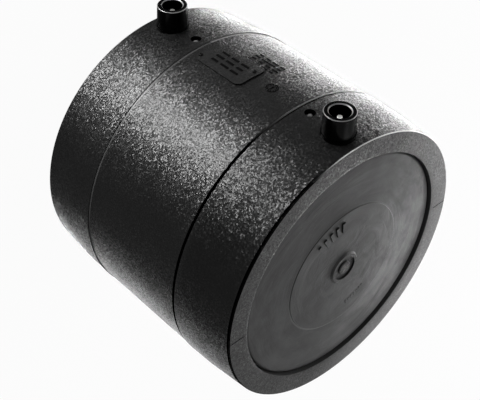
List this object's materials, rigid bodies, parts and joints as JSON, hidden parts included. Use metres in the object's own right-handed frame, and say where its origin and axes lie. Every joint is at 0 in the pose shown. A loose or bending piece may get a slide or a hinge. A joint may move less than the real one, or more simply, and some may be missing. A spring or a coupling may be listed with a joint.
{
  "type": "electrofusion end cap",
  "caption": "Round black electrofusion end cap: a sleeve with a plugged far end, a heating wire and shrouded side terminals.",
  "frame": {"origin": "centre of the open mouth, in the plane that the cap stands on", "axes": "+Z along the cap's axis towards its closed end, +X out along the terminals"},
  "size_m": [0.209, 0.195, 0.1768],
  "materials": {
    "sleeve_polyethylene": "black, spark-eroded grain",
    "plug_polyethylene": "black, smooth with flow marks",
    "resistance_wire": "bare drawn wire",
    "plated_pin": "bright tin plate",
    "indicator_polyethylene": "smooth"
  },
  "bodies": {
    "root": {"sleeve": "sleeve_polyethylene", "end_plug": "plug_polyethylene", "heating_wire": "resistance_wire", "mouth_terminal_pin": "plated_pin", "closed_end_terminal_pin": "plated_pin", "mouth_indicator": "indicator_polyethylene", "closed_end_indicator": "indicator_polyethylene"}
  },
  "joints": []
}
